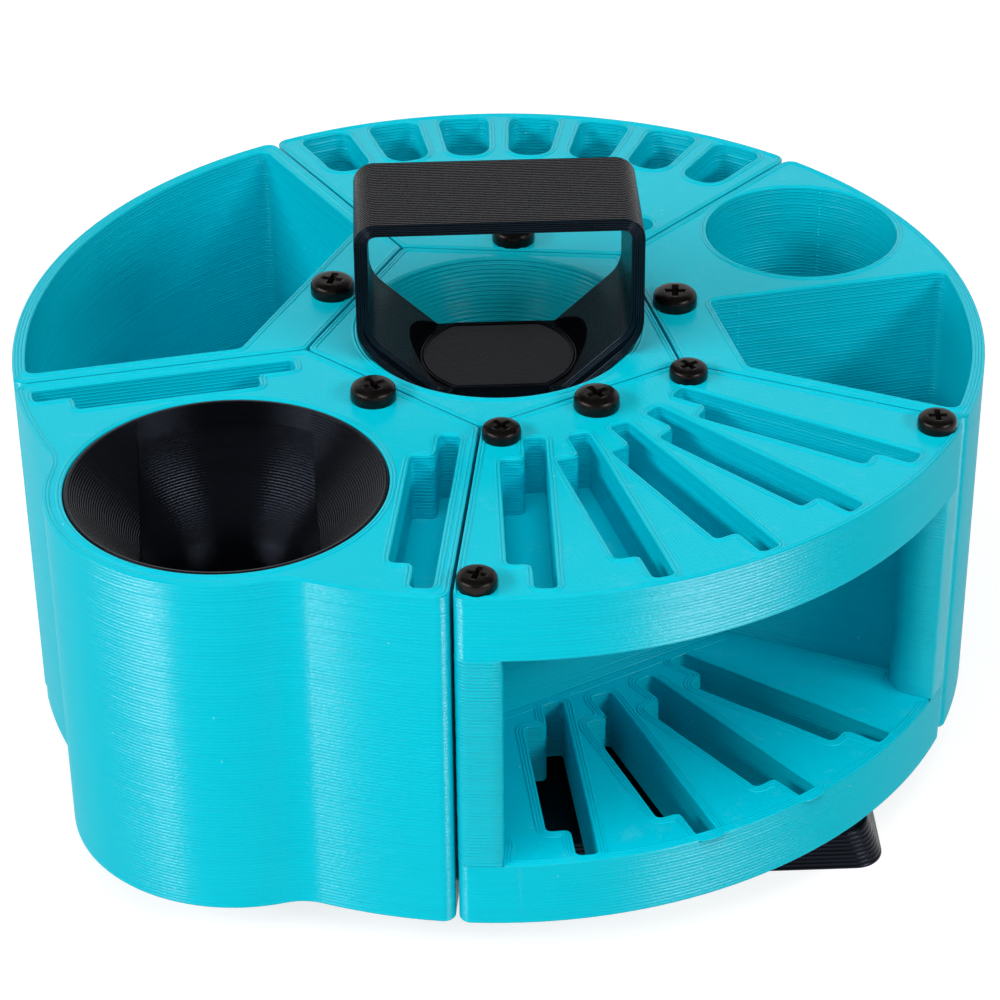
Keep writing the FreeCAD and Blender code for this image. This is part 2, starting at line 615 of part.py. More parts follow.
def main():
    os.makedirs("parts", exist_ok=True)

    export("base_plate", make_base())
    export("axle_bolt", make_axle_bolt())
    export("bearing_spacer", tube(RING_SEAT_RADIUS, AXLE_HOLE, LOWER_BEARING + BEARING_WIDTH, UPPER_BEARING))
    export("handle", make_handle())
    export("handle_cap", make_handle_cap())
    nut_bottom = NUT_RECESS_FLOOR + WASHER_THICKNESS
    export("axle_washer", tube(WASHER_RADIUS, AXLE_HOLE, NUT_RECESS_FLOOR, nut_bottom))
    nut = hex_prism(HEX_FLATS, nut_bottom, nut_bottom + NUT_HEIGHT)
    export("axle_nut", nut.cut(cylinder(RING_BORE, nut_bottom - 1, nut_bottom + NUT_HEIGHT + 1)))

    lower, upper = bearing_pieces(LOWER_BEARING), bearing_pieces(UPPER_BEARING)
    export("bearing_inner_rings", [lower[0], upper[0]])
    export("bearing_outer_rings", [lower[1], upper[1]])
    export("bearing_balls", lower[2] + upper[2])
    export("bearing_cages", [lower[3], upper[3]])
    export("bearing_seals", lower[4] + upper[4])

    export("hub", make_hub())
    export("shears_module", turned(make_shears_module(), SHEARS_TURN))
    export("bottle_module", turned(make_bottle_module(), BOTTLE_TURN))
    export("blade_rack_upper", turned(make_rack_upper(), RACK_TURN))
    export("blade_rack_lower", turned(make_rack_lower(), RACK_TURN))
    export("cup_module", turned(make_cup_module(), CUP_TURN))
    export("cup_insert", make_cup_insert())
    export("bin_module", turned(make_bin_module(), BIN_TURN))

    screw = pan_screw(MODULE_SCREW, MODULE_SCREW["reach"], 0)
    insert = threaded_insert(MODULE_SCREW, LUG_TOP, MODULE_SCREW["reach"], 0)
    turns = [SHEARS_TURN - i * MODULE_TURN for i in range(MODULE_COUNT)]
    export("module_screws", [turned(screw, turn) for turn in turns])
    export("module_inserts", [turned(insert, turn) for turn in turns])
    places = rack_screw_places()
    export("rack_screws", [turned(pan_screw(RACK_SCREW, x, y), RACK_TURN) for x, y in places])
    export("rack_inserts", [turned(threaded_insert(RACK_SCREW, SLAB_BOTTOM, x, y), RACK_TURN)
                            for x, y in places])


main()
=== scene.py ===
# %% [markdown]
# # A turning tool caddy, printed in turquoise and black
# The CAD model holds every solid of the caddy in metres, in one shared frame. This lesson loads it,
# lays the marks of a filament printer over it (layers on the walls, beads along the edges), turns new
# screws, gives every piece its material, and sets up the studio. The CAD solids stay where they are,
# and each new piece rides on a body. Sizes of the caddy are in millimetres, as on a drawing, and MM turns
# them into metres. Places and sizes of the camera, the floor and the lamps are in metres.

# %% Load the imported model
import math

import bmesh
import bpy
import numpy as np
from mathutils import Matrix, Vector


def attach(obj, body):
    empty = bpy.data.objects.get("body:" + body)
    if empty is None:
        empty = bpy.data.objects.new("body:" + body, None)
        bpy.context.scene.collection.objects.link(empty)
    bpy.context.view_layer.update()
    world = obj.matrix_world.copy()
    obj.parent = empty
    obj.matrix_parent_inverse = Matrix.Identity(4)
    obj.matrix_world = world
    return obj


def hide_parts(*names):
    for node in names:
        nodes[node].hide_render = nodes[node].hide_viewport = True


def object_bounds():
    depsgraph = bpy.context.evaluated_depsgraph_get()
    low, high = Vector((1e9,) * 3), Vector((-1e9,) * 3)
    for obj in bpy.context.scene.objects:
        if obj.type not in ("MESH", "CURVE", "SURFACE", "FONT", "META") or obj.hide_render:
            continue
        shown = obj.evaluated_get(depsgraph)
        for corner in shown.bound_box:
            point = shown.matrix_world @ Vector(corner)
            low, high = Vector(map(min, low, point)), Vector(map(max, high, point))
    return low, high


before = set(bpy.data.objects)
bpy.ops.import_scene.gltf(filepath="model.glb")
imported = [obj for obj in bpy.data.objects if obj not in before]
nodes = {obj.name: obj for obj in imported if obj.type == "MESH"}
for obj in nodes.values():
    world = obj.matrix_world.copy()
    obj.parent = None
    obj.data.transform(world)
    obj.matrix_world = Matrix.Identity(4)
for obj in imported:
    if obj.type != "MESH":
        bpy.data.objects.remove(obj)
cad_low, cad_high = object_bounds()
MM = 0.001
print("CAD nodes:", len(nodes), "box", [round(v, 4) for v in (*cad_low, *cad_high)])

# %% [markdown]
# ## Colours and shader nodes
# A colour is written as the sRGB hex that the eye sees, but shaders add up light, so one function turns
# it into linear light. Blender needs several lines for each shader node, so one small function adds a
# node, sets its options, and feeds each socket from a number or from another node. Three more are built
# on it: for arithmetic, for a mixed colour and for an uneven roughness.

# %% Colour and node helpers
# Most of a noise texture lies between these two values.
NOISE_RANGE = (0.3, 0.7)


def linear(hex_code):
    """Linear RGBA of an sRGB hex: c / 12.92 near black, else ((c + 0.055) / 1.055) to the power 2.4."""
    srgb = np.array([int(hex_code[i:i + 2], 16) for i in (1, 3, 5)]) / 255
    light = np.where(srgb <= 0.04045, srgb / 12.92, ((srgb + 0.055) / 1.055) ** 2.4)
    return (*light.tolist(), 1.0)


def add_node(tree, kind, feeds=None, **options):
    """Adds a shader node, sets its options, and feeds its sockets with numbers or other sockets."""
    node = tree.nodes.new(kind)
    for option, value in options.items():
        setattr(node, option, value)
    for socket, value in (feeds or {}).items():
        if isinstance(value, bpy.types.NodeSocket):
            tree.links.new(value, node.inputs[socket])
        else:
            node.inputs[socket].default_value = value
    return node


def calculate(tree, operation, *values):
    """Socket with the result of one operation on numbers or other sockets."""
    return add_node(tree, "ShaderNodeMath", dict(enumerate(values)), operation=operation).outputs[0]


def blend(tree, share, first, second):
    """Socket with a colour between two others: the first where the share is 0, the second where it is 1."""
    return add_node(tree, "ShaderNodeMix", {0: share, 6: first, 7: second}, data_type="RGBA").outputs[2]


def uneven_roughness(tree, noise, rough):
    """Socket with a roughness between two limits, by where the noise is in its usual range."""
    return add_node(tree, "ShaderNodeMapRange",
                    {"Value": noise, "From Min": NOISE_RANGE[0], "From Max": NOISE_RANGE[1],
                     "To Min": rough[0], "To Max": rough[1]}).outputs[0]


def empty_material(name):
    """A material with only its output node, and that output's surface socket."""
    material = bpy.data.materials.new(name)
    material.use_nodes = True
    material.node_tree.nodes.clear()
    output = add_node(material.node_tree, "ShaderNodeOutputMaterial")
    return material, material.node_tree, output.inputs["Surface"]


print("turquoise in linear light:", [round(v, 3) for v in linear("#00C8DD")])

# %% [markdown]
# ## Printed plastic
# The caddy is PLA laid down in thin roads by a nozzle. Side walls have one ridge per layer, and flat
# tops show straight roads. The ridges could be an image, but a wave texture whose period is the real
# layer height stays sharp at any distance. A rounded layer seen from above shows mostly its upper half,
# so on the outer walls a saw wave leans each ridge up by about 35 degrees, and a lamp's reflection is
# drawn out into an upright band. Inside the openings the ridges are weaker and lean both ways. Fine
# noise makes the bands a little grainy.

# %% Printed plastic material
# Sizes in mm: layers and roads, grain, streaks along the layers, pale patches on flat faces (rubbed spots
# and painted sheen) and specks of dust.
LAYER = 0.39
ROAD = 0.62
GRAIN = 0.8
GRAIN_RISE = 0.05
STREAK_LENGTH = 40.0
STREAK_RISE = 0.05
SCUFF_AND_SHEEN_SIZE = 6.0
SPECK_SPACING = 7.0
SPECK_SIZE = 0.15
# Without a unit: a streak's height in layers, the waver of ridges and roads, the part of a noise that
# counts as a pale patch (rubbed spots and painted sheen) and how pale that gets, and how squarely a flat
# face looks along the layer axis.
STREAK_LAYERS = 2.5
RIDGE_WAVER = 0.25
ROAD_WAVER = 0.8
RUB_AND_SHEEN_RANGE = (0.56, 0.90)
RUB_AND_SHEEN_PALE = 0.16
FLAT_FACING = 0.9
PLA_IOR = 1.46
AXES = {"X": 0, "Y": 1, "Z": 2}


def wave_scale(period):
    """Wave texture scale for a period in mm, because the texture runs through 20 radians per unit."""
    return 2 * math.pi / (20 * period * MM)


def printed_plastic(name, shade, light, dust_and_sheen, layer_axis="Z", layer=LAYER, ridge=0.02, profile="TRI",
                    road_turn=45.0, road=0.006, rough=(0.17, 0.27), specular=0.30, gleam="#FFFFFF"):
    """Printed plastic: ridges along the layer axis, roads on faces across it, and a few specks."""
    material, tree, surface = empty_material(name)
    place = add_node(tree, "ShaderNodeTexCoord").outputs["Object"]
    ridges = add_node(tree, "ShaderNodeTexWave",
                      {"Vector": place, "Scale": wave_scale(layer), "Distortion": RIDGE_WAVER,
                       "Detail": 1.0, "Detail Scale": 0.05},
                      bands_direction=layer_axis, wave_profile=profile).outputs["Fac"]
    drawn = [1 / (STREAK_LENGTH * MM)] * 3
    drawn[AXES[layer_axis]] = 1 / (STREAK_LAYERS * LAYER * MM)
    stretched = add_node(tree, "ShaderNodeMapping", {"Vector": place, "Scale": drawn})
    streaks = add_node(tree, "ShaderNodeTexNoise",
                       {"Vector": stretched.outputs[0], "Scale": 1.0, "Detail": 2.0}).outputs["Fac"]
    turned = add_node(tree, "ShaderNodeMapping",
                      {"Vector": place, "Rotation": (0, 0, math.radians(road_turn))})
    roads = add_node(tree, "ShaderNodeTexWave",
                     {"Vector": turned.outputs[0], "Scale": wave_scale(ROAD), "Distortion": ROAD_WAVER,
                      "Detail": 1.0, "Detail Scale": 0.04},
                     bands_direction="X").outputs["Fac"]
    normal = add_node(tree, "ShaderNodeNewGeometry").outputs["Normal"]
    facing = add_node(tree, "ShaderNodeSeparateXYZ", {0: normal}).outputs[AXES[layer_axis]]
    across = calculate(tree, "GREATER_THAN", calculate(tree, "ABSOLUTE", facing), FLAT_FACING)
    uneven = calculate(tree, "MULTIPLY", streaks, STREAK_RISE * MM)
    walls = calculate(tree, "MULTIPLY_ADD", ridges, -2 * ridge * MM, uneven)
    flats = calculate(tree, "MULTIPLY", roads, 2 * road * MM)
    laid = add_node(tree, "ShaderNodeMix", {0: across, 2: walls, 3: flats}).outputs[0]
    grain = add_node(tree, "ShaderNodeTexNoise",
                     {"Vector": place, "Scale": 1 / (GRAIN * MM), "Detail": 3.0,
                      "Roughness": 0.6}).outputs["Fac"]
    height = calculate(tree, "MULTIPLY_ADD", grain, GRAIN_RISE * MM, laid)
    bump = add_node(tree, "ShaderNodeBump", {"Height": height, "Strength": 1.0, "Distance": 1.0})
    tint = blend(tree, streaks, linear(shade), linear(light))
    spots = add_node(tree, "ShaderNodeTexVoronoi", {"Vector": place, "Scale": 1 / (SPECK_SPACING * MM)})
    speckled = calculate(tree, "LESS_THAN", spots.outputs["Distance"], SPECK_SIZE / SPECK_SPACING)
    # Pale patches on the faces across the layers, mostly the tops: partly rubbed spots, partly painted
    # sheen.
    rub_and_sheen_noise = add_node(tree, "ShaderNodeTexNoise",
                    {"Vector": place, "Scale": 1 / (SCUFF_AND_SHEEN_SIZE * MM), "Detail": 6.0,
                     "Roughness": 0.75}).outputs["Fac"]
    rub_and_sheen = add_node(tree, "ShaderNodeMapRange",
                      {"Value": rub_and_sheen_noise, "From Min": RUB_AND_SHEEN_RANGE[0], "From Max": RUB_AND_SHEEN_RANGE[1],
                       "To Min": 0.0, "To Max": RUB_AND_SHEEN_PALE}).outputs[0]
    # Painted sheen and rubbed spots, only on the flat faces across the layers.
    scuffs_and_painted_sheen = calculate(tree, "MULTIPLY", rub_and_sheen, across)
    colour = blend(tree, calculate(tree, "MAXIMUM", speckled, scuffs_and_painted_sheen), tint, linear(dust_and_sheen))
    shader = add_node(tree, "ShaderNodeBsdfPrincipled",
                      {"Base Color": colour, "Roughness": uneven_roughness(tree, grain, rough),
                       "IOR": PLA_IOR, "Specular IOR Level": specular, "Specular Tint": linear(gleam),
                       "Normal": bump.outputs["Normal"]})
    tree.links.new(shader.outputs[0], surface)
    return material


# Turquoise PLA, printed: bright and saturated, almost even in colour, with a few pale specks of dust. The
# same pale is painted in patches on the tops: partly rubbed spots, partly painted sheen.
TEAL = ("#00C8DF", "#00D0E5", "#9FE6EC")
# Black PLA, printed: near black with a cold gleam, and its ridges catch thin grey lines. Its grey marks
# specks of dust, and in patches on the flat faces both rubbed spots and painted sheen.
BLACK = ("#07080B", "#0C0E13", "#3A3B40")
COLD = "#CEDEFF"
# Turn of the straight roads on each module's top, in degrees.
TOP_TURNS = {"bin_module": 100, "shears_module": 38, "bottle_module": 56, "blade_rack_upper": -16,
             "blade_rack_lower": -16, "cup_module": 92, "hub": 20}
for node_name, turn in TOP_TURNS.items():
    nodes[node_name].data.materials[0] = printed_plastic(f"turquoise_pla_printed_{node_name}", *TEAL,
                                                         road_turn=turn, specular=0.2)
# Outer walls: ridges that lean up gather the lamps into pale upright bands.
layered_teal = printed_plastic("turquoise_pla_layered_wall", *TEAL, ridge=0.134, profile="SAW", road=0.0)
# Inside walls: weaker ridges, so the openings stay deep and quiet.
inside_teal = printed_plastic("turquoise_pla_layered_inside", *TEAL, ridge=0.035, road=0.0, specular=0.2)
# Flat black print: soft and even, with fine straight roads.
black_flat = printed_plastic("black_pla_printed_flat", *BLACK, specular=0.09, gleam=COLD)
# Black foot: glossier, so it mirrors a little of the turquoise above it.
black_foot = printed_plastic("black_pla_printed_foot", *BLACK, specular=0.22, gleam=COLD)
# Black printed on its side: lines along the handle's strap. One ridge stands for two layers, because
# single ones are finer than a pixel of the picture.
black_side = printed_plastic("black_pla_printed_on_its_side", *BLACK, layer_axis="Y", layer=2 * LAYER,
                             ridge=0.05, specular=0.08, gleam=COLD)
# Glossy black: two curved bands of light run down the cup.
black_glossy = printed_plastic("black_pla_printed_glossy", *BLACK, ridge=0.052, profile="SIN",
                               rough=(0.16, 0.24), specular=0.25, gleam=COLD)
# A single black road: a thin bright line along an edge.
black_road = printed_plastic("black_pla_single_road", *BLACK, ridge=0.0, road=0.0, specular=0.45,
                             gleam=COLD)
nodes["base_plate"].data.materials[0] = black_foot
nodes["handle_cap"].data.materials[0] = black_flat
nodes["handle"].data.materials[0] = black_side
nodes["cup_insert"].data.materials[0] = black_glossy
print("printed materials:", len(bpy.data.materials))

# %% [markdown]
# ## Metal, nylon and rubber
# The screws are steel with black oxide, the threaded inserts are brass, and the axle and bearings are
# zinc plated and polished steel. Each is a metal with its own colour, and noise in the roughness gives
# the eye the uneven gloss of turned and plated parts. The bearing cages are nylon and the seals are
# rubber.

# %% Hardware materials


def hardware(name, dark, light, metallic, rough, grain):
    """A hardware surface: two close colours and two roughnesses mixed by noise of a grain size in mm."""
    material, tree, surface = empty_material(name)
    place = add_node(tree, "ShaderNodeTexCoord").outputs["Object"]
    noise = add_node(tree, "ShaderNodeTexNoise",
                     {"Vector": place, "Scale": 1 / (grain * MM), "Detail": 4.0}).outputs["Fac"]
    colour = blend(tree, noise, linear(dark), linear(light))
    shader = add_node(tree, "ShaderNodeBsdfPrincipled",
                      {"Base Color": colour, "Roughness": uneven_roughness(tree, noise, rough),
                       "Metallic": metallic})
    tree.links.new(shader.outputs[0], surface)
    return material


# Black oxide on steel: dark, slightly brown, with a satin gloss.
black_oxide = hardware("black_oxide_steel_satin", "#1B1817", "#2A2523", 0.8, (0.24, 0.38), 1.2)
# Turned brass: warm yellow with soft tool marks.
brass = hardware("brass_turned", "#B98A3C", "#CFA352", 1.0, (0.22, 0.38), 1.5)
# Zinc on steel: pale grey, a little uneven.
zinc = hardware("zinc_plated_steel", "#A9ACB0", "#C3C6CA", 1.0, (0.25, 0.40), 2.0)
# Bearing steel: bright, with sharp reflections.
polished = hardware("bearing_steel_polished", "#C2C4C8", "#D4D6DA", 1.0, (0.08, 0.16), 1.5)
# Moulded nylon: cream and waxy.
nylon = hardware("nylon_moulded", "#D8D0BC", "#E4DDCB", 0.0, (0.40, 0.55), 1.0)
# Nitrile rubber: black and dull.
rubber = hardware("nitrile_rubber_moulded", "#161616", "#202020", 0.0, (0.55, 0.70), 0.8)
HARDWARE = {"module_screws": black_oxide, "rack_screws": black_oxide, "module_inserts": brass,
            "rack_inserts": brass, "axle_bolt": zinc, "axle_nut": zinc, "axle_washer": zinc,
            "bearing_spacer": zinc, "bearing_inner_rings": polished, "bearing_outer_rings": polished,
            "bearing_balls": polished, "bearing_cages": nylon, "bearing_seals": rubber}
for node_name, material in HARDWARE.items():
    nodes[node_name].data.materials[0] = material
print("hardware nodes:", len(HARDWARE))

# %% [markdown]
# ## Surfaces from arrays
# Every new piece is a grid of points, so one function joins the grid into four-sided faces, closed
# round either way or capped at its ends.

# %% Grid and piece helpers


def skin(points, closed_rows=True):
    """Corners and quads of a grid of points (rows x ring): closed rings, and closed or capped rows."""
    rows, ring = points.shape[:2]
    index = np.arange(rows * ring).reshape(rows, ring)
    index = np.concatenate([index, index[:, :1]], 1)
    caps = [] if closed_rows else [index[0, :-1].tolist(), index[-1, :-1].tolist()]
    if closed_rows:
        index = np.concatenate([index, index[:1]], 0)
    quads = np.stack([index[:-1, :-1], index[1:, :-1], index[1:, 1:], index[:-1, 1:]], -1).reshape(-1, 4)
    return points.reshape(-1, 3), quads.tolist() + caps


def add_piece(name, skins, material, body):
    """One mesh from skins, clipped to the CAD box, faces outwards; it rides on a body and takes a material.
    """
    corners = np.concatenate([points for points, faces in skins])
    starts = np.cumsum([0] + [len(points) for points, faces in skins])
    faces = [[corner + start for corner in face] for (points, part), start in zip(skins, starts)
             for face in part]
    mesh = bpy.data.meshes.new(name)
    mesh.from_pydata(np.clip(corners, cad_low, cad_high).tolist(), [], faces)
    shell = bmesh.new()
    shell.from_mesh(mesh)
    bmesh.ops.recalc_face_normals(shell, faces=shell.faces)
    shell.to_mesh(mesh)
    shell.free()
    mesh.shade_smooth()
    mesh.materials.append(material)
    piece = bpy.data.objects.new(name, mesh)
    bpy.context.scene.collection.objects.link(piece)
    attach(piece, body)
    print(name, len(corners), "corners,", len(faces), "faces")
    return piece


# %% [markdown]
# ## Outlines read from the CAD model
# The edges that a nozzle follows are the edges of the flat faces, and those are in the CAD meshes
# already. A triangle edge that no neighbour in the same flat face runs back along is on the outline.
# Chained head to tail, such edges give closed loops with the face on their left, so one rule serves
# outer edges and openings.

# %% Outline helpers
WELD = 0.001 * MM
FLAT_PLAY = 0.004 * MM
FEWEST_STATIONS = 12


def flat_outlines(node_name, axis, level, side):
    """Closed outlines, most points first, of a node's flat face at a level (mm), facing + or - an axis."""
    mesh = nodes[node_name].data
    points = np.empty(len(mesh.vertices) * 3, np.float32)
    mesh.vertices.foreach_get("co", points)
    corners = np.empty(len(mesh.loops), np.int32)
    mesh.loops.foreach_get("vertex_index", corners)
    triangles = points.reshape(-1, 3).astype(float)[corners].reshape(-1, 3, 3)
    first, second = triangles[:, 1] - triangles[:, 0], triangles[:, 2] - triangles[:, 0]
    across = np.cross(first, second)[:, axis] * side
    flat = (np.abs(triangles[:, :, axis] - level * MM) < FLAT_PLAY).all(1) & (across > 0)
    spots, ids = np.unique(np.round(triangles[flat].reshape(-1, 3) / WELD).astype(np.int64), axis=0,
                           return_inverse=True)
    ids = ids.reshape(-1, 3)
    edges = np.concatenate([ids[:, [0, 1]], ids[:, [1, 2]], ids[:, [2, 0]]])
    there = edges[:, 0] * len(spots) + edges[:, 1]
    back = edges[:, 1] * len(spots) + edges[:, 0]
    follow = dict(edges[~np.isin(there, back)].tolist())
    loops = []
    while follow:
        start, here = follow.popitem()
        loop = [start]
        while here != start:
            loop.append(here)
            here = follow.pop(here)
        loops.append(spots[loop] * WELD)
    return sorted(loops, key=len, reverse=True)


def is_opening(outline):
    """True for an outline that runs clockwise seen from above, which bounds an opening."""
    x, y = outline[:, 0], outline[:, 1]
    return np.sum(x * np.roll(y, -1) - y * np.roll(x, -1)) < 0


def path_lengths(path):
    """Length along a closed path at each of its points, and back at the first one."""
    return np.concatenate([[0], np.cumsum(np.linalg.norm(np.roll(path, -1, 0) - path, axis=1))])


def even_stations(path, spacing):
    """Points at even steps (mm) along a closed path: each coordinate is interpolated over the length."""
    reach = path_lengths(path)
    count = max(FEWEST_STATIONS, round(reach[-1] / (spacing * MM)))
    steps = np.linspace(0, reach[-1], count, endpoint=False)
    closed = np.vstack([path, path[:1]])
    return np.stack([np.interp(steps, reach, closed[:, k]) for k in range(3)], 1)


def into_face(path, face):
    """Unit vectors from a closed path into the face on its left, square to the path's direction there."""
    before = path - np.roll(path, 1, 0)
    after = np.roll(path, -1, 0) - path
    along = before / np.linalg.norm(before, axis=1, keepdims=True)
    along = along + after / np.linalg.norm(after, axis=1, keepdims=True)
    inward = np.cross(face, along)
    return inward / np.linalg.norm(inward, axis=1, keepdims=True)


TOP = 88.6
TOP_MODULES = ("bin_module", "shears_module", "bottle_module", "blade_rack_upper", "cup_module", "hub")
for module in TOP_MODULES:
    print(module, "outlines:", [len(loop) for loop in flat_outlines(module, 2, TOP, 1)])

# %% [markdown]
# ## Beads along the edges
# Before it fills a flat top, the nozzle draws its edges: two roads side by side along every outline.
# They stand a hair above the fill, round the edge off, and catch the light as fine parallel lines. Each
# is a thin tube, an ellipse carried along the outline, that is half sunk in the flat face. Where an
# outline turns sharply, the inset road would cross itself, so points that come too near to the outline
# are dropped.

# %% Edge beads
BEAD_WIDTH = 0.65
BEAD_RISE = 0.40
BEAD_SIDES = 8
BEAD_STEP = 0.8
BEAD_WAVER = 0.05
BEAD_SUNK = 0.1
NEAREST_LANE = 0.96
SHORTEST_OUTLINE = 20.0
random = np.random.default_rng(12)


def wander(count, size):
    """Slow closed wobble along a path: four sine waves of whole numbers of turns with drawn phases."""
    turns = random.integers(2, 9, 4)
    phases = random.uniform(0, 2 * np.pi, 4)
    around = np.linspace(0, 2 * np.pi, count, endpoint=False)
    return size * MM * np.sin(around[:, None] * turns + phases).sum(1) / 4


def bead(outline, face, inset, width, rise=BEAD_RISE):
    """Elliptic tube along an outline: centre + half width * cos a inwards + rise * (sin a - sunk) up."""
    stations = even_stations(outline, BEAD_STEP)
    lane = stations + into_face(stations, face) * inset * MM
    gaps = np.linalg.norm(lane[:, None] - stations[None], axis=2).min(1)
    lane = even_stations(lane[gaps > NEAREST_LANE * inset * MM], BEAD_STEP)
    inward = into_face(lane, face)
    lane = lane + inward * wander(len(lane), BEAD_WAVER)[:, None]
    angle = np.linspace(0, 2 * np.pi, BEAD_SIDES, endpoint=False)
    wide = width / 2 * MM * np.cos(angle)
    high = rise * width * (np.sin(angle) - BEAD_SUNK) * MM
    return skin(lane[:, None] + inward[:, None] * wide[:, None] + np.asarray(face) * high[:, None])


def edge_beads(node_name, axis, level, side, lanes=2, width=BEAD_WIDTH):
    """Beads, lane by lane, along every outline of a flat face that is long enough to show."""
    face = np.zeros(3)
    face[axis] = side
    outlines = [loop for loop in flat_outlines(node_name, axis, level, side)
                if path_lengths(loop)[-1] > SHORTEST_OUTLINE * MM]
    return [bead(loop, face, width * (lane + 0.5), width) for loop in outlines for lane in range(lanes)]


SHELF_TOP = 24.7
for module in TOP_MODULES:
    add_piece(f"{module}_edge_beads", edge_beads(module, 2, TOP, 1), layered_teal, "carousel")
add_piece("shelf_edge_beads", edge_beads("blade_rack_lower", 2, SHELF_TOP, 1, lanes=3), layered_teal,
          "carousel")

# %% [markdown]
# The handle was printed lying on its back, so its front and back are flat faces, and six narrow roads
# fill the strap's edge. The disc in its floor and the top of the base have two roads each, and the thin
# lip of the cup is a single one.

# %% Beads on the black pieces
HANDLE_HALF_DEPTH = 14.0
STRAP_ROAD = 0.467
CAP_TOP = 81.7
BASE_TOP = 7.0
LIP_WIDTH = 0.75
LIP_RISE = 0.08
UP = (0.0, 0.0, 1.0)
strap_beads = []
for side in (-1, 1):
    strap_beads += edge_beads("handle", 1, side * HANDLE_HALF_DEPTH, side, lanes=3, width=STRAP_ROAD)
add_piece("handle_edge_beads", strap_beads, black_road, "stand")
cap_beads = edge_beads("handle_cap", 2, CAP_TOP, 1)
add_piece("handle_cap_edge_beads", cap_beads, black_flat, "stand")
add_piece("base_edge_beads", edge_beads("base_plate", 2, BASE_TOP, 1), black_foot, "stand")
lip = next(loop for loop in flat_outlines("cup_insert", 2, TOP, 1) if not is_opening(loop))
lip_bead = bead(lip, UP, LIP_WIDTH / 2, LIP_WIDTH, LIP_RISE)
add_piece("cup_lip_bead", [lip_bead], black_road, "cup")

# %% [markdown]
# ## Layers on the walls
# A printed wall is a stack of flattened roads, so its section is a row of shallow bulges with sharp
# grooves between them. The bulges could be a bump in the material, but then the wall would stay smooth
# in outline and in the exported mesh. Here the section is carried round each outline: half ellipses
# from floor to top, a little different from one to the next, and a straight back that is sunk in the
# CAD wall and closes the ring. One bulge stands for two layers, because a single layer is finer than a
# pixel of the picture.

# %% Layered walls
LINE = 2 * LAYER
BACK = 0.3
STAND_OFF = 0.012
INNER_LIMIT = 47.0
SWELL_SPREAD = (0.7, 1.25)


def layer_section(height, swell):
    """Closed section of a layered wall as (out, up) in mm: half ellipses, then a straight back."""
    count = max(1, round(height / LINE))
    part = np.array([0.0, 0.18, 0.5, 0.82])
    lift = (np.arange(count)[:, None] + part) * height / count
    bulge = np.sqrt(1 - (2 * part - 1) ** 2) * swell * random.uniform(*SWELL_SPREAD, count)[:, None]
    front = np.stack([STAND_OFF + bulge, lift], -1).reshape(-1, 2)
    ends = [(STAND_OFF, height), (-BACK, height), (-BACK, 0.0)]
    return np.vstack([front, ends])


def layered_wall(outline, face, depth, swell, limit=None):
    """Layered skin from an outline down into the part, kept only beyond a radius (mm) if one is given."""
    outward = -into_face(outline, face)
    section = layer_section(depth, swell) * MM
    whole = limit is None
    if not whole:
        far = np.hypot(outline[:, 0], outline[:, 1]) > limit * MM
        first = np.flatnonzero(far & ~np.roll(far, 1))[0]
        keep = np.roll(far, -first)
        outline = np.roll(outline, -first, 0)[keep]
        outward = np.roll(outward, -first, 0)[keep]
    floor_line = outline - np.asarray(face) * depth * MM
    points = floor_line[:, None] + outward[:, None] * section[:, :1] + np.asarray(face) * section[:, 1:]
    return skin(points, closed_rows=whole)


CAROUSEL_BOTTOM = 10.3
SLAB_BOTTOM = 74.4
RIM_SWELL = 0.022
INSIDE_SWELL = 0.09
OPENINGS_PER_PIECE = 5
# Depth of the openings of each module, told apart by the length of their outlines, in mm.
OPENING_DEPTHS = {"bin_module": {100: 75.3}, "bottle_module": {100: 74.3},
                  "shears_module": {30: 66.0, 20: 60.0}, "blade_rack_upper": {30: 13.2},
                  "cup_module": {150: 73.3, 30: 15.0}}
for module, depths in OPENING_DEPTHS.items():
    skins = []
    for loop in flat_outlines(module, 2, TOP, 1):
        length = path_lengths(loop)[-1] / MM
        if not is_opening(loop):
            bottom = SLAB_BOTTOM if module == "blade_rack_upper" else CAROUSEL_BOTTOM
            rim = layered_wall(loop, UP, TOP - bottom, RIM_SWELL, INNER_LIMIT)
            add_piece(f"{module}_rim_layers", [rim], layered_teal, "carousel")
        elif length > min(depths):
            depth = next(depths[least] for least in depths if length > least)
            skins.append(layered_wall(loop, UP, depth, INSIDE_SWELL))
    for part, first in enumerate(range(0, len(skins), OPENINGS_PER_PIECE)):
        group = skins[first:first + OPENINGS_PER_PIECE]
        add_piece(f"{module}_opening_layers_{part + 1}", group, inside_teal, "carousel")

# %% [markdown]
# The lower tier of the rack has three layered walls: the window above its shelf, the shelf's slots, and
# the shelf's own rim. The rim is read from the underside, so there the section is carried upwards.

# %% Layers of the lower tier
DOWN = (0.0, 0.0, -1.0)
window = flat_outlines("blade_rack_lower", 2, SLAB_BOTTOM, 1)[0]
underside = max(flat_outlines("blade_rack_lower", 2, CAROUSEL_BOTTOM, -1),
                key=lambda loop: path_lengths(loop)[-1])
slots = [loop for loop in flat_outlines("blade_rack_lower", 2, SHELF_TOP, 1) if is_opening(loop)]
shelf_height = SHELF_TOP - CAROUSEL_BOTTOM
add_piece("window_layers", [layered_wall(window, UP, SLAB_BOTTOM - SHELF_TOP, INSIDE_SWELL, INNER_LIMIT)],
          inside_teal, "carousel")
add_piece("shelf_slot_layers", [layered_wall(loop, UP, shelf_height, INSIDE_SWELL) for loop in slots],
          inside_teal, "carousel")
add_piece("shelf_rim_layers", [layered_wall(underside, DOWN, shelf_height, RIM_SWELL, INNER_LIMIT)],
          layered_teal, "carousel")

